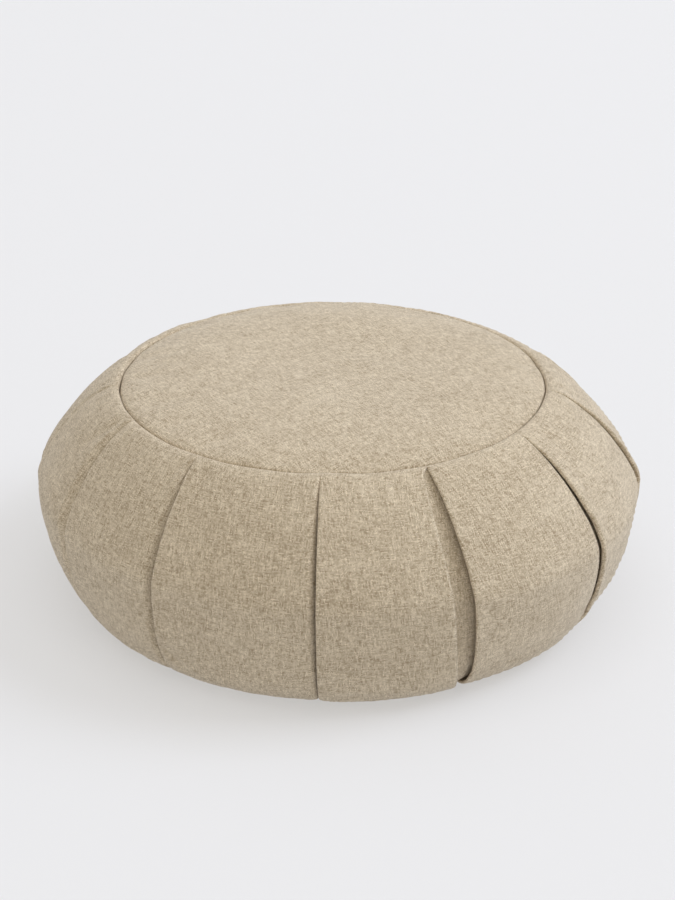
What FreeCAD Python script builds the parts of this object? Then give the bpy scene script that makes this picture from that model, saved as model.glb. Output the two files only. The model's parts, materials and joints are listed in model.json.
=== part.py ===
import FreeCAD, Part
import math
import os

# A round floor cushion: a removable pleated cover with a zip under its rear edge, and a
# cotton liner filled with hulls. Millimetres and degrees, +Z up, origin at the middle of the
# underside, front towards -Y. Azimuths count anticlockwise from +X, seen from above.

# Cover
BULGE_RADIUS = 180.0  # widest radius of the pleated side
BULGE_HEIGHT = 68.0  # height of that widest ring
SEAM_RADIUS = 125.0  # both round panels are sewn in at this radius
SEAM_HEIGHT = 125.0  # height of the top seam
CROWN = 7.0  # rise of the top panel's middle above its seam
FOOT_RING = 19.0  # width of the side that lies flat, outside the bottom seam
UPPER_ROUNDNESS = 1.35  # 1 is a straight cone, 2 an ellipse
LOWER_ROUNDNESS = 1.95
CLOTH = 0.8  # one layer of the linen
FOLD_LAYERS = 3  # outer, return and inner layer of a knife pleat
SEAM_ALLOWANCE = 8.0  # how far the sewn edges reach inwards
SEAM_GAP = 0.8  # room for the thread between two sewn edges
THREAD = 0.7  # thickness of a sewing thread

# Pleats
PLEATS = 12
FRONT_PLEAT = 266.5  # azimuth of the folded edge nearest the front
PLEAT_SLIT = 0.6  # opening under each folded edge
SLIT_LAYERS = 2  # layers that the slit goes through
SLIT_OVERRUN = 1.0  # how far the cutting shape stands outside the cloth
SLIT_TOP_DROP = 3.0  # the slit ends this far below the seam
SLIT_FOOT_RISE = 5.0  # and this far above the floor

# Liner and filling
LINER_CLOTH = 0.8
LAY = 0.6  # room between two layers that lie on each other
LINER_INSET = 4.0  # how far the liner's top seam lies inside the cover's
LINER_DROP = 1.0  # and how far below the cover's sewn edges
LINER_CROWN_EXPONENT = 2.5
LINER_ALLOWANCE = 5.0
LINER_FOOT_INSET = 2.0  # how far its bottom seam lies inside the cover's
LINER_SLOPE = 5.0  # width of the slope where its underside climbs over the zip
OPENING_START = 60.0  # the filling opening, sewn shut by hand
OPENING_SWEEP = 40.0
HAND_STITCHES = 17
HAND_STITCH_LENGTH = 3.2
HAND_STITCH_RISE = 0.95

# Zip, in a channel along the rear of the bottom seam
CHANNEL_START = 12.0
CHANNEL_END = 172.0
CHANNEL_WIDTH = 12.0
CHANNEL_DEPTH = 6.0
TAPE_WIDTH = 11.5
TAPE_THICKNESS = 0.6
TAPE_GAP = 1.0
TAPE_END_INSET = 1.0  # degrees from the channel's end to the tape's end
TOOTH_PITCH = 3.0
TOOTH_LENGTH = 2.6
TOOTH_WIDTH = 1.2
TOOTH_HEIGHT = 1.6
TOOTH_GAP = 0.4  # from the middle line to each row, which leaves room for the slider's post
SLIDER_START = 20.0  # the slider's azimuth with the zip closed
SLIDER_TRAVEL = 138.0
SLIDER_LENGTH = 9.0
SLIDER_WIDTH = 9.0
SLIDER_PLATE = 0.7
SLIDER_CLEARANCE = 0.3
SLIDER_FLANGE = 0.8
SLIDER_CORNER = 1.5
FLANGE_CLEARANCE = 0.4
POST_WIDTH = 0.5
POST_LENGTH = 1.6
BRIDGE_LENGTH = 6.4
BRIDGE_WIDTH = 1.6
BRIDGE_BAR = 0.8
WINDOW_HEIGHT = 1.2
STOP_LENGTH = 1.4
STOP_CLEARANCE = 0.4
PULL_LENGTH = 22.0
PULL_WIDTH = 5.0
PULL_THICKNESS = 0.9
PULL_ARM = 0.8
PULL_ARM_CLEARANCE = 0.4
PULL_NECK = 4.2  # from the hinge to where the two arms join
PULL_FLOOR_GAP = 0.3
PULL_CORNER = 1.4
PULL_HOLE_RADIUS = 1.1
PULL_HOLE_INSET = 3.4

CURVE_STEPS = 12
ORIGIN = FreeCAD.Vector(0, 0, 0)
UP = FreeCAD.Vector(0, 0, 1)

# Worked out from the sizes above
band_stack = CLOTH * FOLD_LAYERS
half_gap = SEAM_GAP / 2
panel_edge = SEAM_RADIUS - half_gap
band_edge = SEAM_RADIUS + half_gap
foot_radius = SEAM_RADIUS + FOOT_RING
channel_inner = SEAM_RADIUS - CHANNEL_WIDTH / 2
channel_outer = SEAM_RADIUS + CHANNEL_WIDTH / 2
channel_sweep = CHANNEL_END - CHANNEL_START
tape_low = CHANNEL_DEPTH
tape_high = tape_low + TAPE_THICKNESS
tape_inner = SEAM_RADIUS - TAPE_GAP / 2 - TAPE_WIDTH
tape_outer = SEAM_RADIUS + TAPE_GAP / 2 + TAPE_WIDTH
teeth_low = tape_low - TOOTH_HEIGHT
slider_top = tape_high + SLIDER_CLEARANCE + SLIDER_PLATE
plate_high = teeth_low - SLIDER_CLEARANCE
plate_low = plate_high - SLIDER_PLATE
hinge_height = plate_low - WINDOW_HEIGHT / 2
pull_tilt = math.degrees(
    math.asin((hinge_height - PULL_FLOOR_GAP - PULL_THICKNESS / 2) / PULL_LENGTH)
)
liner_edge = SEAM_RADIUS - LINER_INSET
liner_seam_height = SEAM_HEIGHT - SEAM_ALLOWANCE - LINER_DROP
liner_top = SEAM_HEIGHT + CROWN - CLOTH - LAY
liner_foot_edge = SEAM_RADIUS - LINER_FOOT_INSET
liner_floor = CLOTH + LAY
liner_rise = max(SEAM_ALLOWANCE, slider_top) + LAY
liner_rise_inner = tape_inner - LAY
liner_rise_outer = tape_outer + LINER_SLOPE / 2
liner_bulge = BULGE_RADIUS - band_stack - LAY


def point(radius, height):
    """A point of a cross-section, in the XZ plane."""
    return FreeCAD.Vector(radius, 0, height)


def quarter(inner, end_height, bulge, roundness):
    """Points of a superellipse from the bulge to (inner, end_height)."""
    points = []
    for step in range(CURVE_STEPS + 1):
        share = math.sin(math.pi / 2 * step / CURVE_STEPS)
        reach = max(0.0, 1 - share**roundness) ** (1 / roundness)
        height = BULGE_HEIGHT + (end_height - BULGE_HEIGHT) * share
        points.append(point(inner + (bulge - inner) * reach, height))
    return points


def side_curve(top_radius, top_height, bulge, foot, foot_height):
    """Points of a bulging side, from its top edge round to its foot."""
    upper = quarter(top_radius, top_height, bulge, UPPER_ROUNDNESS)
    lower = quarter(foot, foot_height, bulge, LOWER_ROUNDNESS)
    return upper[::-1] + lower[1:]


def dome_curve(edge, edge_height, rise, exponent):
    """Points of a domed panel, from its middle to its edge."""
    points = []
    for step in range(CURVE_STEPS + 1):
        share = step / CURVE_STEPS
        points.append(point(edge * share, edge_height + rise * (1 - share**exponent)))
    return points


def section(*runs):
    """A closed face in the XZ plane: runs of one point are corners, longer ones are curves."""
    edges = []
    last = runs[-1][-1]
    for run in runs:
        edges.append(Part.makeLine(last, run[0]))
        if len(run) > 1:
            curve = Part.BSplineCurve()
            curve.interpolate(run)
            edges.append(curve.toShape())
        last = run[-1]
    return Part.Face(Part.Wire(edges))


def corners(*pairs):
    """Corner runs for section, from pairs of radius and height."""
    return [[point(radius, height)] for radius, height in pairs]


def spin(face, start=0.0, sweep=360.0):
    """The solid that a cross-section makes when it turns about +Z."""
    turned = face.copy()
    turned.rotate(ORIGIN, UP, start)
    return turned.revolve(ORIGIN, UP, sweep)


def ring(inner, outer, low, high, start=0.0, sweep=360.0):
    """A ring, or part of one, of rectangular section."""
    outline = corners((inner, low), (outer, low), (outer, high), (inner, high))
    return spin(section(*outline), start, sweep)


def thread_ring(radius, height, start=0.0, sweep=360.0):
    """A line of stitching that runs round the cushion."""
    ring_shape = Part.makeTorus(radius, THREAD / 2, point(0, height), UP, 0, 360, sweep)
    ring_shape.rotate(ORIGIN, UP, start)
    return ring_shape


def block(x_range, y_range, z_range):
    """A box from its lowest to its highest value on each axis."""
    low = FreeCAD.Vector(x_range[0], y_range[0], z_range[0])
    high = FreeCAD.Vector(x_range[1], y_range[1], z_range[1])
    size = high - low
    return Part.makeBox(size.x, size.y, size.z, low)


def around(middle, width):
    """The range of a width that is centred on a value."""
    return (middle - width / 2, middle + width / 2)


def turned_to(shape, azimuth):
    """A shape built at azimuth 0, moved to its own azimuth."""
    shape.rotate(ORIGIN, UP, azimuth)
    return shape


def round_upright_edges(solid, radius, height):
    """Rounds the corners of a plate whose upright edges have the given height."""
    edges = [
        edge
        for edge in solid.Edges
        if abs(edge.BoundBox.ZLength - height) < 1e-6 and abs(edge.Length - height) < 1e-6
    ]
    return solid.makeFillet(radius, edges)


def cover_top_panel():
    """The crowned round panel, with its edge turned down at the seam."""
    outside = dome_curve(panel_edge, SEAM_HEIGHT, CROWN, 2)
    inner_edge = panel_edge - CLOTH
    inside = dome_curve(inner_edge, SEAM_HEIGHT - CLOTH, CROWN, 2)
    foot = SEAM_HEIGHT - SEAM_ALLOWANCE
    return spin(section(outside, *corners((panel_edge, foot), (inner_edge, foot)), inside[::-1]))


def cover_bottom_panel():
    """The flat round panel, with its edge turned up at the seam and round the zip's channel."""
    inner_edge = panel_edge - CLOTH
    outline = corners(
        (0, 0),
        (panel_edge, 0),
        (panel_edge, SEAM_ALLOWANCE),
        (inner_edge, SEAM_ALLOWANCE),
        (inner_edge, CLOTH),
        (0, CLOTH),
    )
    cut = ring(channel_inner, band_edge, -CLOTH, SEAM_ALLOWANCE + CLOTH, CHANNEL_START, channel_sweep)
    lip = ring(channel_inner - CLOTH, channel_inner, 0, CHANNEL_DEPTH, CHANNEL_START, channel_sweep)
    return spin(section(*outline)).cut(cut).fuse(lip).removeSplitter()


def band_body():
    """The bulging side as a ring of folded cloth, with its edges turned inwards at both seams."""
    lip = band_edge + band_stack
    outside = side_curve(band_edge, SEAM_HEIGHT, BULGE_RADIUS, foot_radius, 0)
    inside = side_curve(
        lip, SEAM_HEIGHT - band_stack, BULGE_RADIUS - band_stack, foot_radius, band_stack
    )
    bottom = corners(
        (band_edge, 0), (band_edge, SEAM_ALLOWANCE), (lip, SEAM_ALLOWANCE), (lip, band_stack)
    )
    top_lip = SEAM_HEIGHT - SEAM_ALLOWANCE
    top = corners((lip, top_lip), (band_edge, top_lip))
    return spin(section(outside, *bottom, inside[::-1], *top))


def pleat_slit(azimuth):
    """The narrow opening under one folded edge, from near the seam to near the floor."""
    depth = CLOTH * SLIT_LAYERS
    outer = side_curve(
        band_edge,
        SEAM_HEIGHT + SLIT_OVERRUN,
        BULGE_RADIUS + SLIT_OVERRUN,
        foot_radius,
        -SLIT_OVERRUN,
    )
    inner = side_curve(
        band_edge + depth, SEAM_HEIGHT - depth, BULGE_RADIUS - depth, foot_radius, depth
    )
    slit = section(outer, inner[::-1]).extrude(FreeCAD.Vector(0, PLEAT_SLIT, 0))
    reach = BULGE_RADIUS + 2 * SLIT_OVERRUN
    limits = block(
        (0, reach), around(0, 4 * PLEAT_SLIT), (SLIT_FOOT_RISE, SEAM_HEIGHT - SLIT_TOP_DROP)
    )
    return turned_to(slit.common(limits), azimuth)


def cover_side_band():
    """The pleated side, open along the rear for the zip's channel."""
    cut = ring(panel_edge, channel_outer, -CLOTH, SEAM_ALLOWANCE + CLOTH, CHANNEL_START, channel_sweep)
    lip = ring(
        channel_outer, channel_outer + band_stack, 0, CHANNEL_DEPTH, CHANNEL_START, channel_sweep
    )
    band = band_body().cut(cut).fuse(lip).removeSplitter()
    slits = [pleat_slit(FRONT_PLEAT + 360 / PLEATS * number) for number in range(PLEATS)]
    return band.cut(slits)


def zip_tape(inner, outer):
    """One woven tape of the zip."""
    start = CHANNEL_START + TAPE_END_INSET
    return ring(inner, outer, tape_low, tape_high, start, channel_sweep - 2 * TAPE_END_INSET)


def zip_stitching(radius):
    """The line of stitching that holds one tape to the cloth at the channel's wall."""
    start = CHANNEL_START + TAPE_END_INSET
    height = tape_high + THREAD
    return thread_ring(radius, height, start, channel_sweep - 2 * TAPE_END_INSET)


def degrees_at_seam(length):
    """The angle that a length takes up along the zip's middle line."""
    return math.degrees(length / SEAM_RADIUS)


def tooth_row(side, offset):
    """One row of teeth: side is -1 on the panel's tape and 1 on the band's."""
    pitch = degrees_at_seam(TOOTH_PITCH)
    first = SLIDER_START + offset * pitch
    end = SLIDER_START + SLIDER_TRAVEL + degrees_at_seam(SLIDER_LENGTH / 2)
    middle = SEAM_RADIUS + side * (TOOTH_GAP + TOOTH_LENGTH / 2)
    teeth = []
    for number in range(int((end - first) / pitch)):
        tooth = block(
            around(middle, TOOTH_LENGTH), around(0, TOOTH_WIDTH), (teeth_low, tape_low)
        )
        teeth.append(turned_to(tooth, first + number * pitch))
    return Part.makeCompound(teeth)


def zip_end_stops():
    """Two stops ahead of the closed slider and one across both tapes at the far end."""
    away = degrees_at_seam(SLIDER_LENGTH / 2 + STOP_CLEARANCE + STOP_LENGTH / 2)
    heights = (teeth_low, tape_low)
    reach = TAPE_GAP / 2 + TOOTH_LENGTH / 2
    stops = []
    for side in (-1, 1):
        stop = block(
            around(SEAM_RADIUS + side * reach, TOOTH_LENGTH / 2), around(0, STOP_LENGTH), heights
        )
        stops.append(turned_to(stop, SLIDER_START - away))
    far_stop = block(around(SEAM_RADIUS, 2 * TOOTH_LENGTH), around(0, STOP_LENGTH), heights)
    far_azimuth = SLIDER_START + SLIDER_TRAVEL + away + degrees_at_seam(TOOTH_PITCH)
    stops.append(turned_to(far_stop, far_azimuth))
    return Part.makeCompound(stops)


def slider_plate(low):
    """One of the slider's two plates, with rounded corners."""
    plate = block(
        around(SEAM_RADIUS, SLIDER_WIDTH), around(0, SLIDER_LENGTH), (low, low + SLIDER_PLATE)
    )
    return round_upright_edges(plate, SLIDER_CORNER, SLIDER_PLATE)


def zip_slider():
    """The slider: two plates joined by a post, guiding flanges and the bridge for the pull."""
    post_start = SLIDER_CORNER - SLIDER_LENGTH / 2
    pieces = [slider_plate(plate_low), slider_plate(tape_high + SLIDER_CLEARANCE)]
    pieces.append(
        block(
            around(SEAM_RADIUS, POST_WIDTH),
            (post_start, post_start + POST_LENGTH),
            (plate_low, slider_top),
        )
    )
    for side in (-1, 1):
        middle = SEAM_RADIUS + side * (SLIDER_WIDTH - SLIDER_FLANGE) / 2
        pieces.append(
            block(
                around(middle, SLIDER_FLANGE),
                around(0, SLIDER_LENGTH - 2 * SLIDER_CORNER),
                (plate_low, tape_low - FLANGE_CLEARANCE),
            )
        )
    bridge_low = plate_low - WINDOW_HEIGHT - BRIDGE_BAR
    across = around(SEAM_RADIUS, BRIDGE_WIDTH)
    bridge = block(across, around(0, BRIDGE_LENGTH), (bridge_low, plate_high))
    window = block(
        around(SEAM_RADIUS, 2 * BRIDGE_WIDTH),
        around(0, BRIDGE_LENGTH - 2 * BRIDGE_BAR),
        (bridge_low + BRIDGE_BAR, plate_low),
    )
    pieces.append(bridge.cut(window))
    slider = pieces[0].fuse(pieces[1:]).removeSplitter()
    return turned_to(slider, SLIDER_START)


def zip_pull_tab():
    """The pull: a bar through the slider's bridge, two arms and a flat tab with a hole."""
    heights = around(hinge_height, PULL_THICKNESS)
    arm_middle = BRIDGE_WIDTH / 2 + PULL_ARM_CLEARANCE + PULL_ARM / 2
    half_bar = arm_middle + PULL_ARM / 2
    hinge = FreeCAD.Vector(SEAM_RADIUS, 0, hinge_height)
    bar_start = hinge - FreeCAD.Vector(half_bar, 0, 0)
    bar = Part.makeCylinder(PULL_THICKNESS / 2, 2 * half_bar, bar_start, FreeCAD.Vector(1, 0, 0))
    tab = block(around(SEAM_RADIUS, PULL_WIDTH), (PULL_NECK, PULL_LENGTH), heights)
    tab = round_upright_edges(tab, PULL_CORNER, PULL_THICKNESS)
    hole_middle = FreeCAD.Vector(SEAM_RADIUS, PULL_LENGTH - PULL_HOLE_INSET, heights[0] - 1)
    tab = tab.cut(Part.makeCylinder(PULL_HOLE_RADIUS, PULL_THICKNESS + 2, hole_middle, UP))
    arms = [
        block(
            around(SEAM_RADIUS + side * arm_middle, PULL_ARM),
            (0, PULL_NECK + PULL_CORNER),
            heights,
        )
        for side in (-1, 1)
    ]
    pull = bar.fuse([tab, *arms]).removeSplitter()
    pull.rotate(hinge, FreeCAD.Vector(1, 0, 0), -pull_tilt)
    return turned_to(pull, SLIDER_START)


def liner_top_panel():
    """The liner's domed panel, with its edge turned down."""
    edge = liner_edge - half_gap
    rise = liner_top - liner_seam_height
    outside = dome_curve(edge, liner_seam_height, rise, LINER_CROWN_EXPONENT)
    inner_edge = edge - LINER_CLOTH
    inside = dome_curve(
        inner_edge, liner_seam_height - LINER_CLOTH, rise, LINER_CROWN_EXPONENT
    )
    foot = liner_seam_height - LINER_ALLOWANCE
    return spin(section(outside, *corners((edge, foot), (inner_edge, foot)), inside[::-1]))


def liner_side_band():
    """The liner's side, a single layer that climbs over the cover's sewn edges at its foot."""
    edge = liner_edge + half_gap
    lip = edge + LINER_CLOTH
    foot_edge = liner_foot_edge + half_gap
    foot_lip = foot_edge + LINER_CLOTH
    outside = side_curve(edge, liner_seam_height, liner_bulge, liner_rise_outer, liner_rise)
    inside = side_curve(
        lip,
        liner_seam_height - LINER_CLOTH,
        liner_bulge - LINER_CLOTH,
        liner_rise_outer,
        liner_rise + LINER_CLOTH,
    )
    bottom = corners(
        (foot_edge, liner_rise),
        (foot_edge, liner_rise + LINER_ALLOWANCE),
        (foot_lip, liner_rise + LINER_ALLOWANCE),
        (foot_lip, liner_rise + LINER_CLOTH),
    )
    top_lip = liner_seam_height - LINER_ALLOWANCE
    top = corners((lip, top_lip), (edge, top_lip))
    return spin(section(outside, *bottom, inside[::-1], *top))


def liner_bottom_panel():
    """The liner's round panel, flat in the middle and raised over the zip at its edge."""
    edge = liner_foot_edge - half_gap
    inner_edge = edge - LINER_CLOTH
    slope_start = liner_rise_inner - LINER_SLOPE
    outline = corners(
        (0, liner_floor),
        (slope_start, liner_floor),
        (liner_rise_inner, liner_rise),
        (edge, liner_rise),
        (edge, liner_rise + LINER_ALLOWANCE),
        (inner_edge, liner_rise + LINER_ALLOWANCE),
        (inner_edge, liner_rise + LINER_CLOTH),
        (liner_rise_inner - LINER_CLOTH / 2, liner_rise + LINER_CLOTH),
        (slope_start - LINER_CLOTH / 2, liner_floor + LINER_CLOTH),
        (0, liner_floor + LINER_CLOTH),
    )
    return spin(section(*outline))


def liner_closing_stitches():
    """Hand stitches across the filling opening in the liner's top seam."""
    height = liner_seam_height + HAND_STITCH_RISE
    start = FreeCAD.Vector(liner_edge - HAND_STITCH_LENGTH / 2, 0, height)
    stitches = []
    for number in range(HAND_STITCHES):
        stitch = Part.makeCylinder(
            THREAD / 2, HAND_STITCH_LENGTH, start, FreeCAD.Vector(1, 0, 0)
        )
        azimuth = OPENING_START + OPENING_SWEEP * number / (HAND_STITCHES - 1)
        stitches.append(turned_to(stitch, azimuth))
    return Part.makeCompound(stitches)


def buckwheat_filling():
    """The loose hulls as the one solid that they fill inside the liner."""
    inset = LINER_CLOTH + LAY / 2
    edge = liner_edge - half_gap - inset
    under_lips = liner_seam_height - LINER_ALLOWANCE - LAY / 2
    past_lips = liner_edge + half_gap + inset
    foot = liner_rise + inset
    over_lips = liner_rise + LINER_ALLOWANCE + LAY / 2
    foot_inner = liner_foot_edge - half_gap - inset
    foot_outer = liner_foot_edge + half_gap + inset
    slope_start = liner_rise_inner - LINER_SLOPE - inset
    rise = liner_top - liner_seam_height
    dome = dome_curve(edge, liner_seam_height - inset, rise, LINER_CROWN_EXPONENT)
    side = side_curve(
        past_lips, liner_seam_height - inset, liner_bulge - inset, liner_rise_outer, foot
    )
    bottom = corners(
        (foot_outer, foot),
        (foot_outer, over_lips),
        (foot_inner, over_lips),
        (foot_inner, foot),
        (liner_rise_inner - inset, foot),
        (slope_start, liner_floor + inset),
        (0, liner_floor + inset),
    )
    return spin(section(dome, *corners((edge, under_lips), (past_lips, under_lips)), side, *bottom))


def save(name, shape):
    """Writes one node and reports how many solids it has."""
    print(name, len(shape.Solids), "solid(s), valid", shape.isValid(), round(shape.Volume, 1), "mm3")
    shape.exportStep(os.path.join("parts", name + ".step"))


def main():
    os.makedirs("parts", exist_ok=True)
    save("cover_top_panel", cover_top_panel())
    save("cover_side_band", cover_side_band())
    save("cover_bottom_panel", cover_bottom_panel())
    seam_height = SEAM_HEIGHT - SEAM_ALLOWANCE / 2
    save("top_seam_thread", thread_ring(SEAM_RADIUS, seam_height))
    sewn_sweep = 360 - channel_sweep
    bottom_thread = thread_ring(SEAM_RADIUS, SEAM_ALLOWANCE / 2, CHANNEL_END, sewn_sweep)
    save("bottom_seam_thread", bottom_thread)
    save("zip_tape_panel_side", zip_tape(tape_inner, SEAM_RADIUS - TAPE_GAP / 2))
    save("zip_tape_band_side", zip_tape(SEAM_RADIUS + TAPE_GAP / 2, tape_outer))
    save("zip_stitching_panel_side", zip_stitching(channel_inner - CLOTH))
    save("zip_stitching_band_side", zip_stitching(channel_outer + CLOTH))
    save("zip_teeth_panel_side", tooth_row(-1, 0))
    save("zip_teeth_band_side", tooth_row(1, 0.5))
    save("zip_end_stops", zip_end_stops())
    save("zip_slider", zip_slider())
    save("zip_pull_tab", zip_pull_tab())
    save("liner_top_panel", liner_top_panel())
    save("liner_side_band", liner_side_band())
    save("liner_bottom_panel", liner_bottom_panel())
    liner_thread = liner_seam_height - LINER_ALLOWANCE / 2
    save("liner_top_seam_thread", thread_ring(liner_edge, liner_thread))
    foot_thread = liner_rise + LINER_ALLOWANCE / 2
    save("liner_bottom_seam_thread", thread_ring(liner_foot_edge, foot_thread))
    save("liner_closing_stitches", liner_closing_stitches())
    save("buckwheat_filling", buckwheat_filling())


main()
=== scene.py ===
"""A round floor cushion with a knife-pleated linen cover, its cotton liner and hull filling.

The cover's pleated side and its top panel are inflated as cloth, and the side's folds are then
laid as the real ones are, in three layers. Lengths in the dataclasses are in millimetres and
angles in degrees. An azimuth is counted from the front, positive towards the right.
"""

from __future__ import annotations

import json
import logging
import math
from dataclasses import dataclass, field
from enum import Enum

import bpy
import numpy as np
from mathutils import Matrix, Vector

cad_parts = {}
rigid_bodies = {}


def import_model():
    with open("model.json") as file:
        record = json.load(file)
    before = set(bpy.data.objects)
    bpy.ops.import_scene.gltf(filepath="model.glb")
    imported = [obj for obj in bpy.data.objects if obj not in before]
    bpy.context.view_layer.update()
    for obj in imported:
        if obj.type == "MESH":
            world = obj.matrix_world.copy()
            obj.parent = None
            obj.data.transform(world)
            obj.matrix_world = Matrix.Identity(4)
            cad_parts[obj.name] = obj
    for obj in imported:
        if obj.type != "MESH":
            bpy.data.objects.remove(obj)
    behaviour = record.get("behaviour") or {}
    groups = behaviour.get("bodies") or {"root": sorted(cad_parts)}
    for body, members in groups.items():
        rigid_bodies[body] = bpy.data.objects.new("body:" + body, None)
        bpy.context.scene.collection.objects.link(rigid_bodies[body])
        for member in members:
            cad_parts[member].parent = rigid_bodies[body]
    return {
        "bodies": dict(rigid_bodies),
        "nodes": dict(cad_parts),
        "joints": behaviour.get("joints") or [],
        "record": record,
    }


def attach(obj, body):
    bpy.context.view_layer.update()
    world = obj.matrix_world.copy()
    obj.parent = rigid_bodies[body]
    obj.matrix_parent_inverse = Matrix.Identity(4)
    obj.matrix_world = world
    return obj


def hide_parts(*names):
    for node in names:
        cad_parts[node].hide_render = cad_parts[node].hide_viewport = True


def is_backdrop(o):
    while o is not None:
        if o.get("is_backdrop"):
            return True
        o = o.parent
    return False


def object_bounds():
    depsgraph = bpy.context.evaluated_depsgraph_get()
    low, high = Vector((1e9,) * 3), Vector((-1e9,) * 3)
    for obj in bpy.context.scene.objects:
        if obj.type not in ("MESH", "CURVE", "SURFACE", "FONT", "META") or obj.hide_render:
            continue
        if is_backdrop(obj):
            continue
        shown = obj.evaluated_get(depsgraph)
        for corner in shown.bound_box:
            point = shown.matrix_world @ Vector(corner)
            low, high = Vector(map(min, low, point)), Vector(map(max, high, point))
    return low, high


LOG = logging.getLogger("floor_cushion")
MM = 0.001
CLOTH_MAP = "cloth"
CUSHION_BODY = "cushion"


# Materials


def linear(code: str) -> tuple[float, float, float, float]:
    """Turns an sRGB colour such as "c8baa4" into a linear one.

    Args:
        code: Six hex digits.

    Returns:
        Red, green, blue and an alpha of 1.
    """
    channels = [int(code[place : place + 2], 16) / 255 for place in (0, 2, 4)]
    values = [c / 12.92 if c <= 0.04045 else ((c + 0.055) / 1.055) ** 2.4 for c in channels]
    return (*values, 1.0)


class Shader:
    """A material with a Principled surface, and the one way that nodes are added to it."""

    def __init__(self, name: str) -> None:
        """Makes an empty material.

        Args:
            name: The material's name.
        """
        self.material = bpy.data.materials.new(name)
        self.material.use_nodes = True
        self.nodes = self.material.node_tree.nodes
        self.links = self.material.node_tree.links

    def add(self, kind: str, inputs: dict, out: int | str = 0, **settings: object) -> bpy.types.NodeSocket:
        """Adds one node with its settings and its links.

        Args:
            kind: The node's type without "ShaderNode", such as "Math".
            inputs: A value for each input that matters, by its name or place. A socket is
                linked, and anything else is set.
            out: Which output to hand back.
            **settings: Attributes of the node itself.

        Returns:
            The output.
        """
        node = self.nodes.new(f"ShaderNode{kind}")
        for key, value in settings.items():
            setattr(node, key, value)
        self.set(node, inputs)
        return node.outputs[out]

    def set(self, node: bpy.types.Node, inputs: dict) -> None:
        """Links or sets inputs of a node.

        Args:
            node: The node.
            inputs: Sockets to link, or values to set, by the input's name or place.
        """
        for place, value in inputs.items():
            if isinstance(value, bpy.types.NodeSocket):
                self.links.new(value, node.inputs[place])
            else:
                node.inputs[place].default_value = value

    def finish(self, **inputs: object) -> bpy.types.Material:
        """Sets the Principled surface.

        Args:
            **inputs: Its inputs by name, with underscores for spaces.

        Returns:
            The material.
        """
        named = {key.replace("_", " "): value for key, value in inputs.items()}
        self.set(self.nodes["Principled BSDF"], named)
        return self.material


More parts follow.
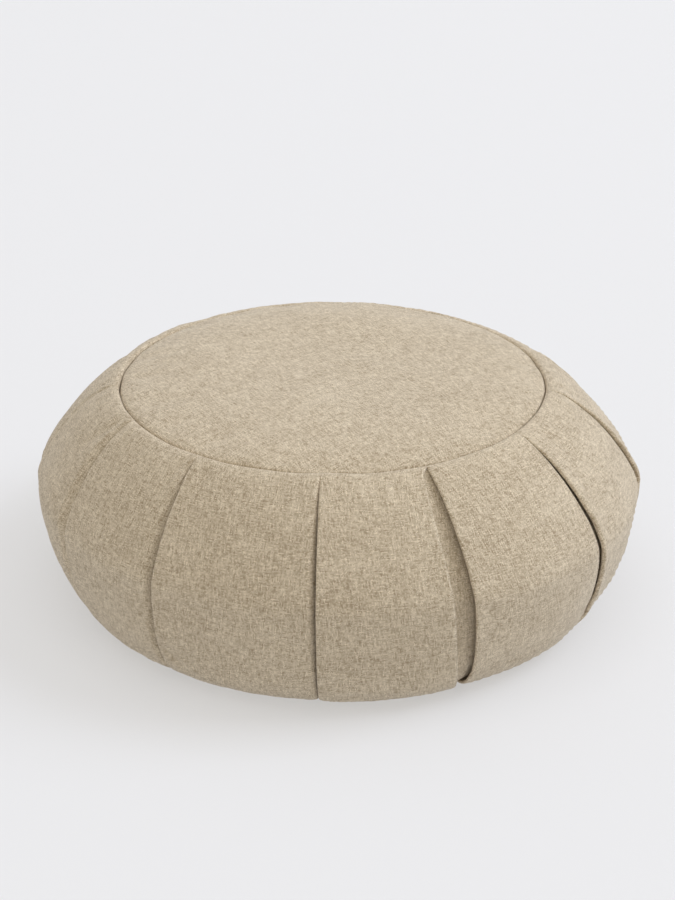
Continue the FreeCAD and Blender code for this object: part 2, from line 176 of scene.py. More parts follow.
@dataclass(frozen=True)
class WovenCloth:
    """A plain weave: over one, under one, with yarns that swell and thin along their length."""

    name: str
    warp: str
    weft: str
    shade: str
    thread: float
    slub_length: float
    slub_strength: float
    fleck: float
    relief: float
    roughness: float
    sheen: float

    def material(self) -> bpy.types.Material:
        """Makes the cloth's material.

        Returns:
            The material, which reads the piece's own thread map.
        """
        s = Shader(self.name)
        where = s.add("UVMap", {}, uv_map=CLOTH_MAP)
        # the yarns do not run quite straight
        wander = s.add("TexNoise", {"Vector": where, "Scale": 55.0, "Detail": 2.0}, "Color")
        push = s.add("VectorMath", {0: wander, 1: (0.5, 0.5, 0.5)}, operation="SUBTRACT")
        push = s.add("VectorMath", {0: push, "Scale": 0.0012}, operation="SCALE")
        axes = s.add("SeparateXYZ", {0: s.add("VectorMath", {0: where, 1: push}, operation="ADD")}).node
        across = s.add("Math", {0: axes.outputs[0], 1: 1 / (self.thread * MM)}, operation="MULTIPLY")
        along = s.add("Math", {0: axes.outputs[1], 1: 1 / (self.thread * MM)}, operation="MULTIPLY")
        warp_yarn = self.yarn(s, across, along, 0.0)
        weft_yarn = self.yarn(s, along, across, 37.0)
        warp_wave = self.wave(s, across)
        weft_wave = self.wave(s, along)
        # which yarn lies on top: the plain weave's chequer, softened because the yarns are round
        over = s.add("Math", {0: warp_wave, 1: weft_wave}, operation="MULTIPLY")
        over = s.add("MapRange", {0: over, 1: -0.45, 2: 0.45}, interpolation_type="SMOOTHSTEP")
        warp_high = s.add("Math", {0: warp_wave}, operation="ABSOLUTE")
        weft_high = s.add("Math", {0: weft_wave}, operation="ABSOLUTE")
        high = s.add("Mix", {0: over, 2: weft_high, 3: warp_high}, data_type="FLOAT")
        yarn = s.add("Mix", {0: over, 2: weft_yarn, 3: warp_yarn}, data_type="FLOAT")
        base = s.add("Mix", {0: over, 6: linear(self.weft), 7: linear(self.warp)}, 2, data_type="RGBA")
        # the shade colour stands partly for painted shade between the yarns and partly for darker yarn
        dark = self.shade_and_tone(s, where, across, along, high, yarn)
        colour = s.add("Mix", {0: dark, 6: base, 7: linear(self.shade)}, 2, data_type="RGBA")
        rise = s.add("Math", {0: yarn, 1: 0.8, 2: high}, operation="MULTIPLY_ADD")
        depth = self.thread * MM * 0.35
        bump = s.add("Bump", {"Height": rise, "Strength": self.relief, "Distance": depth})
        return s.finish(
            Base_Color=colour,
            Roughness=self.roughness,
            Specular_IOR_Level=0.25,
            Sheen_Weight=self.sheen,
            Sheen_Roughness=0.45,
            Sheen_Tint=linear("ffffff"),
            Normal=bump,
        )

    def wave(self, s: Shader, number: bpy.types.NodeSocket) -> bpy.types.NodeSocket:
        """The rise and fall across the yarns of one set.

        Args:
            s: The shader being made.
            number: Which yarn, rising by 1 from yarn to yarn.

        Returns:
            A sine that changes sign from yarn to yarn.
        """
        turn = s.add("Math", {0: number, 1: math.pi}, operation="MULTIPLY")
        return s.add("Math", {0: turn}, operation="SINE")

    def yarn(
        self, s: Shader, number: bpy.types.NodeSocket, length: bpy.types.NodeSocket, start: float
    ) -> bpy.types.NodeSocket:
        """How thick and light each yarn is along its length.

        Args:
            s: The shader being made.
            number: Which yarn, rising by 1 from yarn to yarn.
            length: The place along the yarn, in threads.
            start: Where the noise starts, so that warp and weft differ.

        Returns:
            A value about 0.5 that changes slowly along a yarn and jumps between yarns.
        """
        whole = s.add("Math", {0: number}, operation="FLOOR")
        row = s.add("Math", {0: whole, 1: 7.31, 2: start}, operation="MULTIPLY_ADD")
        run = s.add("Math", {0: length, 1: self.thread / self.slub_length}, operation="MULTIPLY")
        point = s.add("CombineXYZ", {0: row, 1: run})
        noise = s.add("TexNoise", {"Vector": point, "Scale": 1.0, "Detail": 1.0}, noise_dimensions="2D")
        return s.add("MapRange", {0: noise, 1: 0.25, 2: 0.75})

    def shade_and_tone(
        self,
        s: Shader,
        where: bpy.types.NodeSocket,
        across: bpy.types.NodeSocket,
        along: bpy.types.NodeSocket,
        high: bpy.types.NodeSocket,
        yarn: bpy.types.NodeSocket,
    ) -> bpy.types.NodeSocket:
        """How far the colour runs towards the shade colour: painted shade between the yarns, where the yarn
        on top lies low, and darker tone on thin yarns, at random crossings and in faint bars.

        Args:
            s: The shader being made.
            where: The place on the cloth, in metres.
            across: The place across the warp, in threads.
            along: The place across the weft, in threads.
            high: How high the yarn on top stands here.
            yarn: How thick the yarn on top is here.

        Returns:
            A share from 0 to 1, about 0.45 on average.
        """
        column = s.add("Math", {0: across}, operation="FLOOR")
        row = s.add("Math", {0: along}, operation="FLOOR")
        cell = s.add("CombineXYZ", {0: column, 1: row})
        # each crossing is a little lighter or darker than its neighbours, at random
        crossing = s.add("TexWhiteNoise", {"Vector": cell}, noise_dimensions="2D")
        # faint bars, where a thicker or darker length of yarn was woven in
        bars = s.add("Mapping", {"Vector": where, "Scale": (14.0, 55.0, 1.0)})
        patch = s.add("TexNoise", {"Vector": bars, "Scale": 1.0, "Detail": 2.0})
        # the middle of each of the four parts is taken off, so that they vary about 0.45
        middle = 0.45 + 0.42 + 0.5 * (self.slub_strength - self.fleck - 0.2)
        # painted shade: darker where the yarn on top lies low, between the yarns
        dark = s.add("Math", {0: high, 1: -0.6, 2: middle}, operation="MULTIPLY_ADD")
        dark = s.add("Math", {0: yarn, 1: -self.slub_strength, 2: dark}, operation="MULTIPLY_ADD")
        dark = s.add("Math", {0: crossing, 1: self.fleck, 2: dark}, operation="MULTIPLY_ADD")
        return s.add("Math", {0: patch, 1: 0.2, 2: dark}, operation="MULTIPLY_ADD", use_clamp=True)


# Stonewashed linen, undyed flax: a plain weave of uneven yarns, 0.65 mm apart. The eye gets a
# fine dry grain with short light and dark dashes both ways.
LINEN = WovenCloth(
    "oatmeal_linen_plain_weave", "efe3ce", "e4d6bd", "8b785c", 0.65, 5.6, 0.64, 0.38, 0.6, 0.86, 0.26
)
# Unbleached calico: a closer, flatter cotton weave with a few dark flecks.
CALICO = WovenCloth(
    "unbleached_cotton_calico", "f4eee2", "efe8d9", "c0b49c", 0.5, 14.0, 0.4, 0.3, 0.4, 0.88, 0.1
)


@dataclass(frozen=True)
class SpunYarn:
    """A twisted sewing thread or a narrow woven tape, which shows slanting ridges, with painted shade in
    their grooves and painted highlight on their crests.
    """

    name: str
    light: str
    dark: str
    ridge: float
    slant: tuple[float, float, float]
    roughness: float

    def material(self) -> bpy.types.Material:
        """Makes the thread's or tape's material.

        Returns:
            The material, which reads the piece's own place.
        """
        s = Shader(self.name)
        place = s.add("TexCoord", {}, "Object")
        turned = s.add("Mapping", {"Vector": place, "Rotation": self.slant})
        scale = 1 / (self.ridge * MM) / 20 * math.pi
        wave = s.add("TexWave", {"Vector": turned, "Scale": scale, "Distortion": 1.2, "Detail": 1.0}, 1)
        fuzz = s.add("TexNoise", {"Vector": place, "Scale": 900.0, "Detail": 2.0})
        fuzz = s.add("Math", {0: fuzz, 1: 0.4}, operation="ADD")
        ridges = s.add("Math", {0: wave, 1: fuzz}, operation="MULTIPLY")
        # painted shade and highlight: the colour runs from dark in the grooves to light on the ridges'
        # crests
        colours = {0: ridges, 6: linear(self.dark), 7: linear(self.light)}
        return s.finish(
            Base_Color=s.add("Mix", colours, 2, data_type="RGBA"),
            Roughness=self.roughness,
            Sheen_Weight=0.15,
            Normal=s.add("Bump", {"Height": ridges, "Strength": 0.6, "Distance": 0.00015}),
        )


# Core-spun polyester sewing thread dyed to the linen: a slight gloss, with painted highlight on each twist
# and painted shade between.
COVER_THREAD = SpunYarn("spun_polyester_thread_oatmeal", "bfae94", "8a7a62", 0.5, (0.0, 0.0, 0.7), 0.55)
# Glazed cotton hand-sewing thread for the liner.
LINER_THREAD = SpunYarn("waxed_cotton_thread_natural", "efe8da", "bcb19b", 0.5, (0.0, 0.0, 0.7), 0.6)
# Polyester zip tape: a tight twill, its ridges about a millimetre apart.
TAPE = SpunYarn("polyester_twill_zip_tape", "b3a288", "94846b", 1.0, (0.0, 0.0, 0.5), 0.7)


@dataclass(frozen=True)
class Solid:
    """A moulded, cast or plated surface with fine scratches or mould grain."""

    name: str
    light: str
    dark: str
    metallic: float
    roughness: float
    grain: float
    relief: float

    def material(self) -> bpy.types.Material:
        """Makes the material.

        Returns:
            The material, which reads the piece's own place.
        """
        s = Shader(self.name)
        place = s.add("TexCoord", {}, "Object")
        scale = 1 / (self.grain * MM)
        grain = s.add("TexNoise", {"Vector": place, "Scale": scale, "Detail": 4.0, "Roughness": 0.6})
        worn = s.add("TexNoise", {"Vector": place, "Scale": 160.0, "Detail": 2.0})
        worn = s.add("Math", {0: worn, 1: 0.4}, operation="ADD")
        share = s.add("Math", {0: grain, 1: worn}, operation="MULTIPLY")
        colours = {0: share, 6: linear(self.dark), 7: linear(self.light)}
        return s.finish(
            Base_Color=s.add("Mix", colours, 2, data_type="RGBA"),
            Metallic=self.metallic,
            Roughness=s.add("MapRange", {0: grain, 3: self.roughness * 0.8, 4: self.roughness * 1.2}),
            Normal=s.add("Bump", {"Height": grain, "Strength": self.relief, "Distance": 0.0001}),
        )


# Nylon coil teeth, extruded and dyed: semi-matt, faintly waxy.
NYLON = Solid("dyed_nylon_zip_teeth", "a8967b", "8d7c63", 0.0, 0.42, 0.6, 0.15)
# Zinc slider with an antique brass plating, tumbled: bright on wear, brown in the grain.
ANTIQUE_BRASS = Solid("antique_brass_plated_zinc", "b59a63", "6d5836", 1.0, 0.34, 0.35, 0.2)
# Buckwheat hulls: dry three-sided husks 4 mm across, dark brown with paler torn edges.
HULLS = Solid("dry_buckwheat_hulls", "5b4330", "22170f", 0.0, 0.75, 3.5, 1.0)


@dataclass(frozen=True)
class LitSweep:
    """An opal acrylic sweep lit from behind: matt, even, and with light of its own in its shadows."""

    name: str = "opal_acrylic_light_table"
    colour: str = "a6a7ab"
    glow: float = 0.42
    roughness: float = 0.9

    def material(self) -> bpy.types.Material:
        """Makes the sweep's material.

        Returns:
            The material.
        """
        return Shader(self.name).finish(
            Base_Color=linear(self.colour),
            Roughness=self.roughness,
            Specular_IOR_Level=0.1,
            Emission_Color=linear("ffffff"),
            Emission_Strength=self.glow,
        )


# Mesh helpers


class Hold(Enum):
    """How a sheet of cloth is held, in the words that the frame uses."""

    GATHERED = "gathered"
    STRETCHED = "stretched"
    LAID = "laid"


def smooth(value: np.ndarray, low: float, high: float) -> np.ndarray:
    """A soft step from 0 at low to 1 at high.

    Args:
        value: The numbers to step.
        low: Where the step starts.
        high: Where it ends.

    Returns:
        The stepped numbers.
    """
    share = np.clip((value - low) / (high - low), 0, 1)
    return share * share * (3 - 2 * share)


def ripple(x: np.ndarray, y: np.ndarray, wave: float, seed: int) -> np.ndarray:
    """Smooth unevenness between about -1 and 1.

    Args:
        x: First coordinate.
        y: Second coordinate, in the same unit.
        wave: The typical distance from crest to crest, in that unit.
        seed: Chooses the pattern.

    Returns:
        One value for each point.
    """
    rng = np.random.default_rng(seed)
    total = np.zeros(np.broadcast(x, y).shape)
    for _ in range(9):
        turn, phase = rng.uniform(0, 2 * math.pi, 2)
        length = wave * rng.uniform(0.7, 1.6)
        total += np.sin(2 * math.pi * (x * math.cos(turn) + y * math.sin(turn)) / length + phase)
    return total / 4.0


def grid_faces(columns: int, rows: int, closed: bool) -> np.ndarray:
    """Faces of a grid of vertices stored column by column.

    Args:
        columns: How many columns.
        rows: How many vertices in each.
        closed: Whether the last column joins the first.

    Returns:
        Four vertex numbers for each face.
    """
    last = columns if closed else columns - 1
    column = np.arange(last)[:, None]
    row = np.arange(rows - 1)[None, :]
    beside = (column + 1) % columns
    corners = [column * rows + row, column * rows + row + 1, beside * rows + row + 1, beside * rows + row]
    return np.stack([np.broadcast_to(c, (last, rows - 1)) for c in corners], -1).reshape(-1, 4)


def around_middle(angle: np.ndarray, radius: np.ndarray, height: np.ndarray) -> np.ndarray:
    """Points round the cushion's middle.

    Args:
        angle: Radians from the front, positive towards the right.
        radius: Their distances from the middle.
        height: Their heights.

    Returns:
        Points, with x, y and z last.
    """
    parts = np.broadcast_arrays(radius * np.sin(angle), -radius * np.cos(angle), height)
    return np.stack(parts, -1)


def tube_faces(base: int, rings: int, sides: int) -> list[list[int]]:
    """Faces of one closed tube.

    Args:
        base: Its first vertex.
        rings: How many rings of vertices it has.
        sides: How many vertices each ring has.

    Returns:
        Vertex numbers of each face, with both ends closed.
    """
    faces = []
    for ring in range(rings - 1):
        for side in range(sides):
            here, beside = base + ring * sides + side, base + ring * sides + (side + 1) % sides
            faces.append([here, beside, beside + sides, here + sides])
    faces.append([base + side for side in range(sides)][::-1])
    faces.append([base + (rings - 1) * sides + side for side in range(sides)])
    return faces


def build(
    name: str, points: np.ndarray, faces: object, threads: np.ndarray | None = None
) -> bpy.types.Object:
    """Makes a mesh object.

    Args:
        name: The piece's name.
        points: Its vertices, in millimetres.
        faces: Vertex numbers of each face.
        threads: Each vertex's place on the flat cloth, in millimetres, if it is cloth.

    Returns:
        The object, smooth shaded and linked to the scene.
    """
    mesh = bpy.data.meshes.new(name)
    mesh.from_pydata((points.reshape(-1, 3) * MM).tolist(), [], [list(map(int, f)) for f in faces])
    mesh.polygons.foreach_set("use_smooth", [True] * len(mesh.polygons))
    if threads is not None:
        layer = mesh.uv_layers.new(name=CLOTH_MAP)
        corner = np.zeros(len(mesh.loops), np.int32)
        mesh.loops.foreach_get("vertex_index", corner)
        layer.data.foreach_set("uv", (threads.reshape(-1, 2)[corner] * MM).astype(np.float32).ravel())
    mesh.update()
    piece = bpy.data.objects.new(name, mesh)
    bpy.context.scene.collection.objects.link(piece)
    return piece


def thicken(piece: bpy.types.Object, thickness: float, offset: float = 0.0) -> None:
    """Gives a sheet its real thickness.

    Args:
        piece: The sheet.
        thickness: In millimetres.
        offset: -1 to grow inwards, 0 to grow both ways.
    """
    shell = piece.modifiers.new("thickness", "SOLIDIFY")
    shell.thickness = thickness * MM
    shell.offset = offset
    shell.use_even_offset = False
    bpy.context.view_layer.objects.active = piece
    with bpy.context.temp_override(object=piece, active_object=piece, selected_objects=[piece]):
        bpy.ops.object.modifier_apply(modifier=shell.name)


def dress(piece: bpy.types.Object, material: bpy.types.Material, slot: str, *nodes: str) -> None:
    """Finishes a piece, and makes it ride on the cushion in place of its CAD nodes.

    Args:
        piece: The piece.
        material: Its material.
        slot: The record's material slot; not used.
        *nodes: The CAD nodes that it stands for.
    """
    piece.data.materials.clear()
    piece.data.materials.append(material)
    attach(piece, CUSHION_BODY)
    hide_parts(*nodes)
    LOG.info("%s: %d faces", piece.name, len(piece.data.polygons))


@dataclass(frozen=True)
class Inflation:
    """Blows a sheet of cloth up from inside with Blender's Cloth, and holds where it is sewn."""

    pressure: float
    frames: int
    spare: float
    furthest: float
    bending: float = 0.6
    held_stiffness: float = 3.0

    def run(self, points: np.ndarray, faces: np.ndarray, held: np.ndarray) -> np.ndarray:
        """Simulates the sheet.

        Args:
            points: Its vertices, in millimetres.
            faces: Vertex numbers of each face.
            held: How firmly each vertex is held, from 0 to 1.

        Returns:
            The vertices after the simulation, none moved further than the limit.
        """
        piece = build("inflating", points, faces)
        group = piece.vertex_groups.new(name="held")
        steps = np.round(held * 20).astype(int)
        for step in np.unique(steps[steps > 0]):
            group.add(np.flatnonzero(steps == step).tolist(), float(step) / 20, "REPLACE")
        cloth = piece.modifiers.new("cloth", "CLOTH")
        settings = cloth.settings
        settings.quality = 6
        settings.mass = 0.25
        settings.tension_stiffness = 20.0
        settings.compression_stiffness = 20.0
        settings.shear_stiffness = 8.0
        settings.bending_stiffness = self.bending
        settings.use_pressure = True
        settings.uniform_pressure_force = self.pressure
        settings.shrink_min = -self.spare
        settings.vertex_group_mass = "held"
        settings.pin_stiffness = self.held_stiffness
        settings.effector_weights.gravity = 0.0
        cloth.collision_settings.use_collision = False
        cloth.collision_settings.use_self_collision = False
        cloth.point_cache.frame_start = 1
        cloth.point_cache.frame_end = self.frames
        scene = bpy.context.scene
        for frame in range(1, self.frames + 1):
            scene.frame_set(frame)
        shaped = piece.evaluated_get(bpy.context.evaluated_depsgraph_get())
        moved = np.zeros(len(points.reshape(-1, 3)) * 3, np.float32)
        shaped.data.vertices.foreach_get("co", moved)
        moved = moved.reshape(-1, 3).astype(float) / MM
        mesh = piece.data
        bpy.data.objects.remove(piece)
        bpy.data.meshes.remove(mesh)
        scene.frame_set(1)
        travel = moved - points.reshape(-1, 3)
        length = np.linalg.norm(travel, axis=1, keepdims=True)
        short = np.minimum(length, self.furthest * np.tanh(length / self.furthest))
        return points.reshape(-1, 3) + travel * short / np.maximum(length, 1e-9)


# The cover


@dataclass(frozen=True)
class Channel:
    """The stretch at the back where both bottom edges are turned up beside the zip."""

    middle: float = 182.0
    half: float = 79.5
    turn: float = 2.5

    def share(self, azimuth: np.ndarray) -> np.ndarray:
        """How far the edge has turned up.

        Args:
            azimuth: Degrees.

        Returns:
            0 in front and 1 beside the zip.
        """
        away = np.abs((azimuth - self.middle + 180) % 360 - 180)
        return 1 - smooth(away, self.half - self.turn, self.half)


@dataclass(frozen=True)
class Outline:
    """The cover in section, from the lip inside the top seam to the lip inside the bottom one."""

    seam_radius: float = 125.0
    seam_height: float = 125.0
    bulge_radius: float = 178.4
    bulge_height: float = 67.0
    foot_radius: float = 146.0
    upper_power: float = 1.38
    lower_power: float = 2.0
    seam_half_gap: float = 0.75
    seam_roll: float = 1.4
    lip: float = 7.0
    floor_height: float = 0.5
    channel_radius: float = 131.6
    tape_height: float = 5.55
    upper_rows: int = 35
    lower_rows: int = 30
    foot_rows: int = 5
    back_drop: float = 2.8
    off_centre: float = 2.2

    def quarter(self, inner: float, end_height: float, power: float, rows: int) -> np.ndarray:
        """A stretch of superellipse from the bulge to its end.

        Args:
            inner: The radius at its end.
            end_height: The height at its end.
            power: 1 for a cone, 2 for an ellipse.
            rows: How many steps.

        Returns:
            Radius and height of each point.
        """
        share = np.sin(np.linspace(0, math.pi / 2, 400))
        reach = np.maximum(0, 1 - share**power) ** (1 / power)
        radius = inner + (self.bulge_radius - inner) * reach
        height = self.bulge_height + (end_height - self.bulge_height) * share
        run = np.concatenate([[0], np.cumsum(np.hypot(np.diff(radius), np.diff(height)))])
        even = np.linspace(0, run[-1], rows + 1)
        return np.stack([np.interp(even, run, radius), np.interp(even, run, height)], 1)

    def path(self, channel: bool) -> np.ndarray:
        """All the rows of the side.

        Args:
            channel: Whether the bottom edge is turned up beside the zip's channel.

        Returns:
            Radius and height of each row.
        """
        wall = self.seam_radius + self.seam_half_gap
        top = self.seam_height
        roll = self.seam_roll
        lip = [(wall, top - self.lip), (wall, top - self.lip / 2), (wall - 0.1, top - roll)]
        edge = [(wall + 0.25 * roll, top - 0.4 * roll), (wall + 0.9 * roll, top - 0.1 * roll)]
        upper = self.quarter(wall + 1.6 * roll, top, self.upper_power, self.upper_rows)[::-1]
        lower = self.quarter(self.foot_radius, self.floor_height, self.lower_power, self.lower_rows)
        inner = self.channel_radius if channel else wall
        foot_radii = np.linspace(self.foot_radius, inner + 1.8, self.foot_rows + 1)[1:]
        foot = [(radius, self.floor_height) for radius in foot_radii]
        turn = [(inner + 0.6, self.floor_height + 0.6)]
        if channel:
            rise = self.tape_height
            ends = [(inner, rise * 0.5), (inner + 0.5, rise - 0.4), (inner + 4.0, rise)]
        else:
            ends = [(inner, 3.0), (inner, 5.5), (inner, 8.0)]
        return np.array([*lip, *edge, *upper, *lower[1:], *foot, *turn, *ends])

    @property
    def first_row(self) -> int:
        """The row where the visible side starts."""
        return 5

    @property
    def foot_row(self) -> int:
        """The row where the side meets the floor."""
        return self.first_row + self.upper_rows + self.lower_rows

    def drop(self, azimuth: np.ndarray) -> np.ndarray:
        """How much lower the top seam lies than in front, where the side was drawn up less.

        Args:
            azimuth: Degrees.

        Returns:
            Millimetres.
        """
        away = np.abs((azimuth + 180) % 360 - 180)
        wave = 0.3 * ripple(np.radians(azimuth) * self.seam_radius, 0 * azimuth, 40.0, 61)
        return self.back_drop * smooth(away, 65.0, 150.0) + wave

    def wander(self, azimuth: np.ndarray) -> np.ndarray:
        """How far outside its true circle the top seam was sewn.

        Args:
            azimuth: Degrees.

        Returns:
            Millimetres.
        """
        wave = 0.35 * ripple(np.radians(azimuth) * self.seam_radius, 0 * azimuth, 24.0, 62)
        return wave - self.off_centre * np.sin(np.radians(azimuth))

    def closed(self, azimuth: np.ndarray) -> np.ndarray:
        """How far the cloth on both sides of the top seam has closed over it.

        Args:
            azimuth: Degrees.

        Returns:
            0 for an open groove and 1 for none.
        """
        turned = (azimuth + 180) % 360 - 180
        return 0.8 * np.exp(-(((turned + 1.0) / 8.0) ** 2))


@dataclass(frozen=True)
class Pleat:
    """One knife pleat. Its folded edge faces left and lies on the panel to its left."""

    top: float
    bulge: float
    foot: float
    sink: float = 3.4
    sink_width: float = 9.0
    turn_down: float = 3.8
    roll: float = 0.75
    rim: float = 0.0
    low_gap: float = 0.0
    strip: float = 0.0
    full: float = 0.0
    tuck_top: float = 16.0
    tuck_bulge: float = 7.0


PLEATS = [
    Pleat(-147.0, -149.0, -148.0, sink=4.6),
    Pleat(-117.0, -118.0, -120.0, sink=5.4),
    Pleat(-86.0, -88.5, -88.0, sink=8.0, sink_width=20.0, turn_down=12.0, roll=0.9, rim=0.6),
    Pleat(-62.5, -59.8, -58.5, sink=9.0, sink_width=22.0, turn_down=14.0, low_gap=-2.0, rim=0.5, full=0.8),
    Pleat(-35.3, -34.0, -35.2, sink=8.4, sink_width=14.0, turn_down=8.0, roll=0.9, rim=0.8, full=1.0),
    Pleat(-3.4, -3.1, -3.0, sink=6.2, sink_width=9.0, turn_down=4.8, rim=0.8, full=2.0),
    Pleat(23.0, 24.6, 26.8, sink=5.8, strip=13.5, rim=0.7, full=1.2),
    Pleat(53.8, 55.3, 57.6, sink=4.4, sink_width=11.0, roll=1.1, rim=1.6, low_gap=2.2),
    Pleat(83.2, 84.9, 85.2, sink=6.0, sink_width=11.0, roll=1.2, rim=1.7, low_gap=0.8),
    Pleat(109.4, 111.0, 111.5, sink=5.2, roll=0.9, rim=1.2),
    Pleat(142.0, 141.0, 142.5, sink=4.6),
    Pleat(176.0, 177.0, 175.5, sink=5.0),
]


@dataclass(frozen=True)
class Crease:
    """A soft pinch in the cloth between two places, given as azimuth and height."""

    start: tuple[float, float]
    end: tuple[float, float]
    depth: float
    width: float


CREASES = [
    Crease((-33.0, 26.0), (-28.0, 9.0), 1.5, 2.2),
    Crease((-29.5, 27.0), (-25.5, 12.0), 1.0, 2.6),
    Crease((2.0, 12.0), (15.0, 10.0), 0.9, 2.4),
    Crease((-14.0, 84.0), (-5.0, 86.0), 0.6, 2.2),
    Crease((-16.0, 98.0), (-9.0, 99.0), 0.4, 2.0),
    Crease((-31.0, 123.0), (-32.0, 112.0), 1.3, 3.0),
    Crease((-38.5, 123.0), (-39.5, 110.0), 1.2, 3.2),
    Crease((8.0, 124.0), (8.5, 113.0), 1.2, 3.6),
    Crease((13.0, 125.0), (13.5, 115.0), 1.6, 2.4),
    Crease((18.0, 123.0), (18.8, 110.0), 0.8, 3.0),
    Crease((-66.0, 123.0), (-70.0, 108.0), 1.4, 4.0),
    Crease((60.0, 118.0), (66.0, 96.0), 0.9, 4.0),
    Crease((-20.0, 124.0), (-20.5, 116.0), 0.6, 3.0),
    Crease((33.0, 124.0), (33.5, 114.0), 0.7, 3.5),
    Crease((44.0, 124.0), (44.5, 115.0), 0.6, 3.0),
    Crease((-112.0, 112.0), (-118.0, 78.0), 3.2, 13.0),
    Crease((100.0, 119.0), (101.0, 106.0), 0.9, 4.0),
    Crease((128.0, 119.0), (127.0, 104.0), 0.9, 4.0),
    Crease((160.0, 118.0), (161.0, 104.0), 1.0, 4.0),
    Crease((-165.0, 118.0), (-164.0, 104.0), 1.0, 4.0),
    Crease((-132.0, 118.0), (-133.0, 104.0), 0.9, 4.0),
    Crease((-101.0, 121.0), (-101.5, 107.0), 0.9, 4.0),
]


@dataclass
class PleatedSide:
    """The cover's side: one strip of linen in twelve knife pleats."""

    outline: Outline = field(default_factory=Outline)
    channel: Channel = field(default_factory=Channel)
    pleats: list[Pleat] = field(default_factory=lambda: PLEATS)
    creases: list[Crease] = field(default_factory=lambda: CREASES)
    panel_columns: int = 35
    turn_columns: int = 9
    soft_fall: float = 1.7
    cloth: float = 0.8
    skew: float = 2.7
    skew_azimuth: float = 45.0
    lean: float = 0.6
    lean_azimuth: float = 30.0
    back_sag: float = 2.6
    foot_stretch: float = 2.4
    fullness: float = 2.0
    inflation: Inflation = field(default_factory=lambda: Inflation(3.2, 9, 0.03, 6.0))

    def __post_init__(self) -> None:
        """Works out the rows that both outlines share."""
        self.front = self.outline.path(False)
        self.rear = self.outline.path(True)
        step = np.hypot(*np.diff(self.front, axis=0).T)
        self.run = np.concatenate([[0], np.cumsum(step)])
        first, foot = self.outline.first_row, self.outline.foot_row
        share = (self.run - self.run[first]) / (self.run[foot] - self.run[first])
        self.share = np.clip(share, 0, 1)
        along = np.gradient(self.front, axis=0)
        along /= np.linalg.norm(along, axis=1, keepdims=True)
        self.normal = np.stack([-along[:, 1], along[:, 0]], 1)
        row = np.arange(len(self.share))
        self.low = smooth(self.share, 0.5, 0.85) * np.clip(1 - (row - foot) / self.outline.foot_rows, 0, 1)

    def edge(self, number: int) -> np.ndarray:
        """The azimuth of one pleat's folded edge at each row.

        Args:
            number: Which pleat. The one after the last is the first again, a turn further on.

        Returns:
            Azimuths in degrees.
        """
        pleat = self.pleats[number % len(self.pleats)]
        turn = 360.0 * (number // len(self.pleats))
        s = self.share
        curve = pleat.top * (1 - s) * (1 - 2 * s) + pleat.bulge * 4 * s * (1 - s)
        return curve + pleat.foot * s * (2 * s - 1) + turn

    def opening(self, pleat: Pleat) -> np.ndarray:
        """How far the cloth under a folded edge lies below it, at each row.

        Args:
            pleat: The pleat.

        Returns:
            Depths in millimetres.
        """
        flat = 3 * self.cloth * 0.62
        wide = np.sin(math.pi * self.share) ** 0.6
        low = np.exp(-(((self.share - 0.68) / 0.17) ** 2)) * pleat.low_gap
        return flat + (pleat.sink - flat) * wide + low

    def outward(self, azimuth: np.ndarray) -> np.ndarray:
        """The way out of the cushion at each point.

        Args:
            azimuth: Degrees, with rows last.

        Returns:
            Unit vectors.
        """
        return around_middle(np.radians(azimuth), self.normal[:, 0], self.normal[:, 1])

    def place(self, azimuth: np.ndarray, lift: np.ndarray) -> np.ndarray:
        """Points of the side.

        Args:
            azimuth: Degrees, with rows last.
            lift: How far each point stands out from the outline, in millimetres.

        Returns:
            Points in millimetres.
        """
        rear = self.channel.share(azimuth)
        radius = self.front[:, 0] * (1 - rear) + self.rear[:, 0] * rear
        height = self.front[:, 1] * (1 - rear) + self.rear[:, 1] * rear
        body = np.sin(math.pi * self.share) ** 0.7
        pull = self.skew * np.cos(np.radians(2 * (azimuth - self.skew_azimuth))) * body
        pull = pull + self.lean * np.cos(np.radians(azimuth - self.lean_azimuth)) * body
        pull = pull + self.foot_stretch * np.cos(np.radians(2 * azimuth)) * self.low
        upper = np.clip(1 - self.share / 0.5, 0, 1)
        height = height - self.outline.drop(azimuth) * upper**0.7
        radius = radius + pull + self.outline.wander(azimuth) * upper**2
        behind = smooth(np.abs((azimuth + 180) % 360 - 180), 65.0, 130.0)
        lift = lift - self.back_sag * behind * np.sin(math.pi * upper)
        point = self.outward(azimuth) * np.asarray(lift)[..., None]
        row = np.arange(len(self.share))
        groove = np.where(row == 2, 0.75, np.where(row == 3, 0.3, 0)) * self.outline.seam_roll
        height = height + groove * self.outline.closed(azimuth)
        return point + around_middle(np.radians(azimuth), radius, height)

    def spacing(self, columns: int) -> np.ndarray:
        """Where the columns of a panel lie, closer together near its two folds.

        Args:
            columns: How many.

        Returns:
            Shares of the panel's width.
        """
        x = np.linspace(0, 1, columns)
        return 0.45 * x + 0.55 * (0.5 - 0.5 * np.cos(math.pi * x))

    def panels(self) -> tuple[np.ndarray, np.ndarray, np.ndarray]:
        """The visible panels before they are inflated.

        Returns:
            Points, azimuths and how firmly each point is held, each panel by column by row.
        """
        points, azimuths, held = [], [], []
        body = np.sin(math.pi * self.share) ** 0.8
        sewn = np.ones(len(self.share))
        sewn[self.outline.first_row + 1 : self.outline.foot_row - 1] = 0
        radius = self.front[:, 0]
        for number in range(len(self.pleats)):
            left, right = self.edge(number), self.edge(number + 1)
            near = self.pleats[number]
            far = self.pleats[(number + 1) % len(self.pleats)]
            reach = 4.0 + (far.sink_width - 4.0) * body
